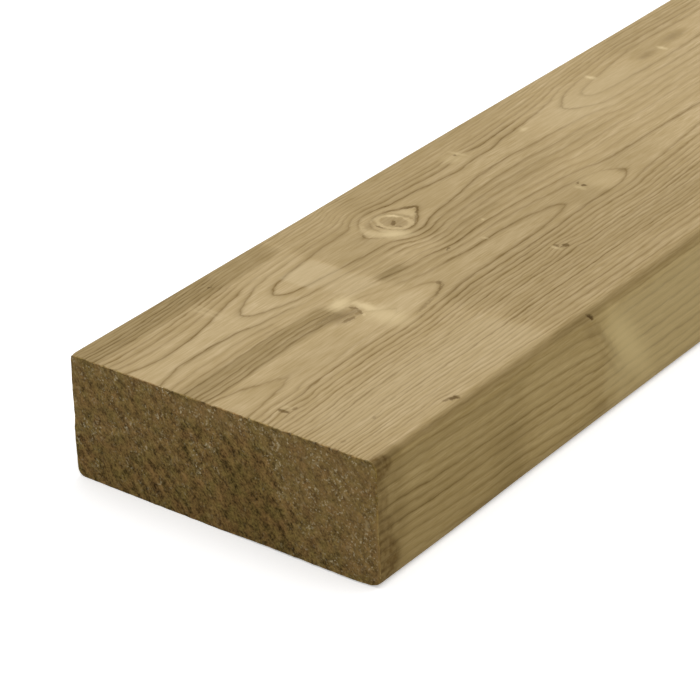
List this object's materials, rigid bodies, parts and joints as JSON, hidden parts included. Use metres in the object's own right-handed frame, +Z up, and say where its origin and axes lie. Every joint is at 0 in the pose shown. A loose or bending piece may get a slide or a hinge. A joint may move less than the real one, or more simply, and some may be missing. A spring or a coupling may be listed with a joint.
{
  "type": "timber stud",
  "caption": "Long straight planed softwood stud of flat rectangular section with eased arrises and square saw-cut ends, used upright in wall framing.",
  "frame": {"origin": "middle of the wide face that the stud lies on", "axes": "+X along the length and the grain, +Y across the width, +Z up through the thickness"},
  "size_m": [2.4, 0.12, 0.044],
  "materials": {
    "treated_softwood": "planed faces, matt, with a pale olive tint from the preservative; rough, darker saw-cut ends"
  },
  "bodies": {
    "root": {"timber_stud": "treated_softwood"}
  },
  "joints": []
}
